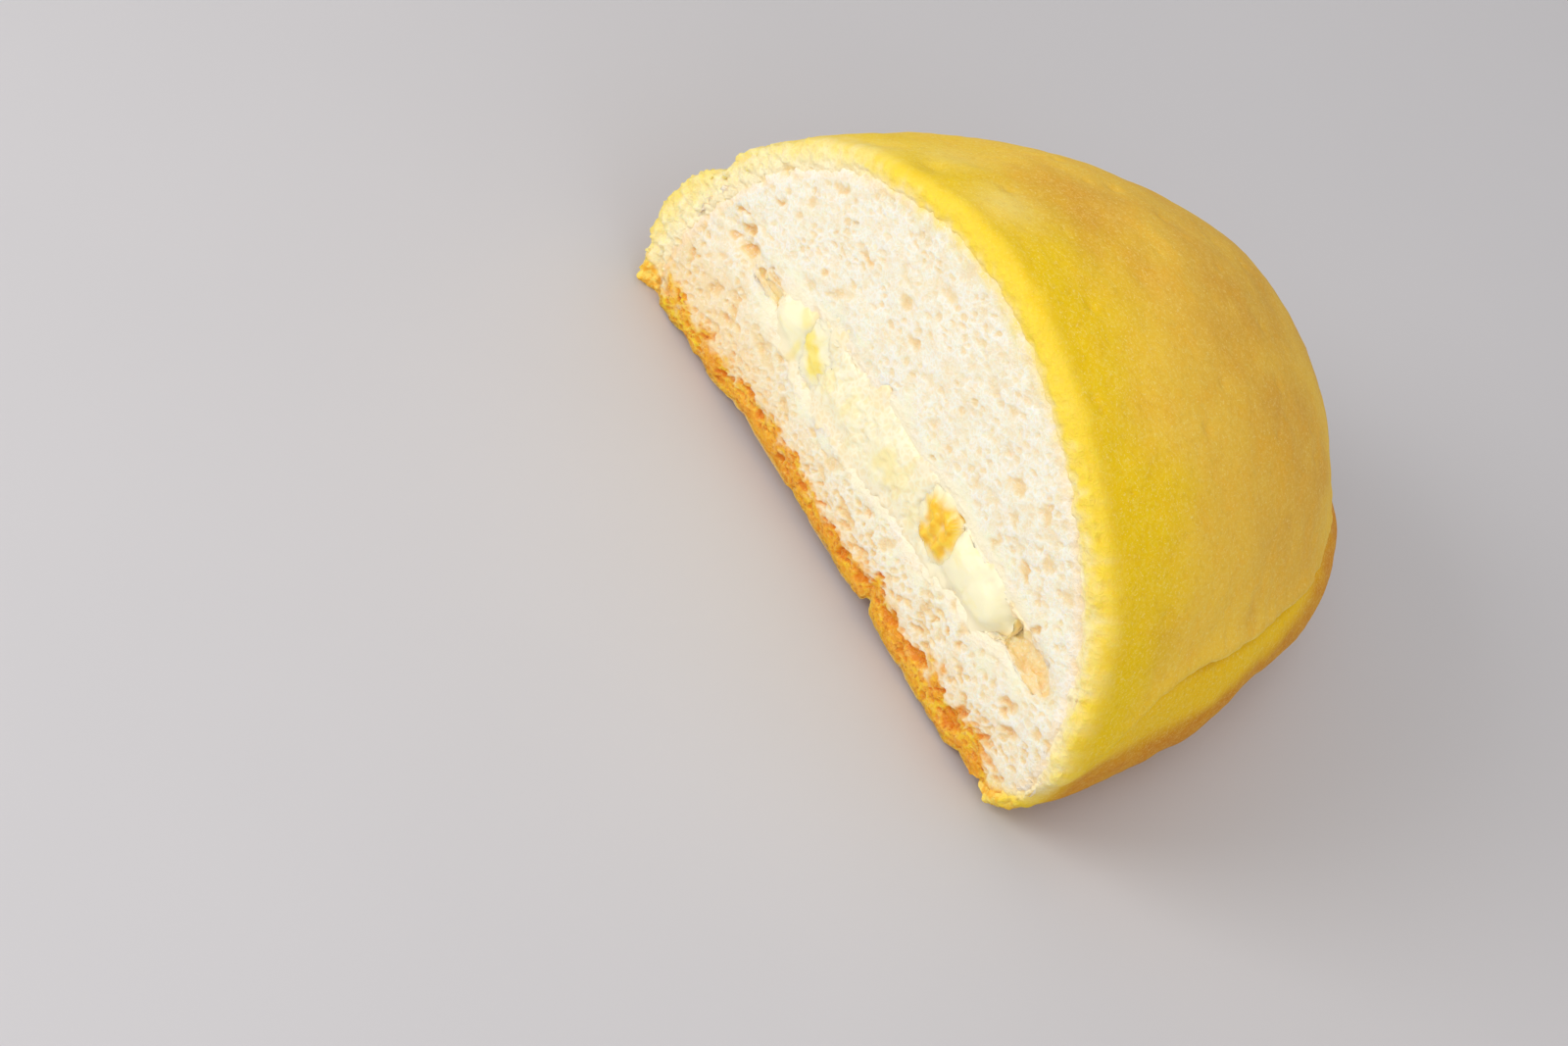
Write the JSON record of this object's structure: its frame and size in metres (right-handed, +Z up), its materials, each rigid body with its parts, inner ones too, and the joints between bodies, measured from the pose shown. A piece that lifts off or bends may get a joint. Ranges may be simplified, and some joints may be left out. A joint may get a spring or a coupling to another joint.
{
  "type": "lemon cream bun",
  "caption": "Half of an oblong sponge-coated bun, cut across, showing white crumb, a band of lemon cream and candied peel.",
  "frame": {"origin": "middle of the footprint, on the flat baked base that the half stands on", "axes": "+Z up from the base to the crown, +X along the cut face's long side, +Y from the cut face towards the bun's rounded end"},
  "size_m": [0.0922, 0.071, 0.0515],
  "materials": {
    "sponge_coat": "soft velvety baked lemon sponge, lemon yellow near the cut and golden tan towards the far end",
    "bread_crumb": "open white bread crumb with fine pores, orange-brown where it is baked at the base",
    "lemon_cream": "soft pale yellow cream, slightly glossy",
    "peel": "glossy translucent candied peel, orange-yellow"
  },
  "bodies": {
    "root": {"sponge_coat": "sponge_coat", "bread_crumb": "bread_crumb", "lemon_cream": "lemon_cream", "peel_large": "peel", "peel_small": "peel"}
  },
  "joints": []
}
